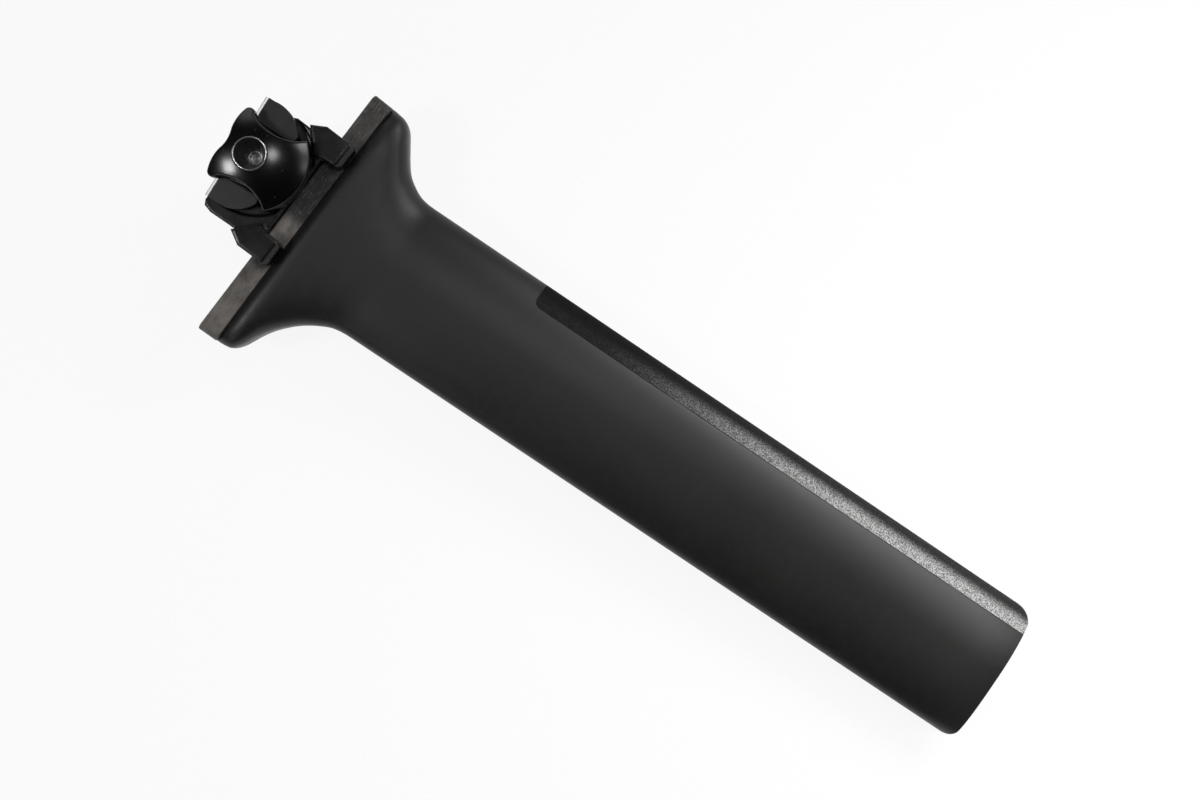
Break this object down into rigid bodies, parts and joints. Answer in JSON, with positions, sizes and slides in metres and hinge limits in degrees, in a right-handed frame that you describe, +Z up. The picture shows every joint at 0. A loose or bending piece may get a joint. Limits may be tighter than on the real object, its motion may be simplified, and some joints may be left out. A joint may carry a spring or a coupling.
{
  "type": "bicycle seatpost",
  "caption": "Aero carbon seatpost with a flat hollow blade, a flared head with a dovetail rail, and a sliding, tilting saddle clamp.",
  "frame": {"origin": "bottom centre of the box round the part as it lies", "axes": "+X from the saddle clamp towards the blade's cut end, +Y the way the bicycle rides, +Z up off the ground, the rider's right side"},
  "size_m": [0.378, 0.1172, 0.0639],
  "materials": {
    "post_paint": "satin dark grey paint over carbon laminate",
    "carriage_grey": "matte dark grey coating on aluminium",
    "cradle_grey": "matte dark grey coating on aluminium",
    "clamp_gloss": "gloss black coating on forged aluminium",
    "bolt_steel": "blackened steel, turned"
  },
  "bodies": {
    "post": {"post_body": "post_paint"},
    "carriage": {"carriage_right": "carriage_grey", "carriage_left": "carriage_grey"},
    "saddle_clamp": {"cradle_right": "cradle_grey", "cradle_left": "cradle_grey", "outer_clamp_right": "clamp_gloss", "outer_clamp_left": "clamp_gloss", "clamp_bolt": "bolt_steel", "clamp_nut": "bolt_steel"}
  },
  "joints": [
    {"name": "carriage_slide", "type": "slide", "parent": "post", "child": "carriage", "axis": [0.0583, 0.9983, -0.0034], "range_m": [-0.03, 0.018]},
    {"name": "saddle_tilt", "type": "hinge", "parent": "carriage", "child": "saddle_clamp", "pos_m": [-0.17527, 0.01088, 0.03194], "axis": [0.0575, 0, 0.9983], "range_deg": [-10, 10]}
  ]
}
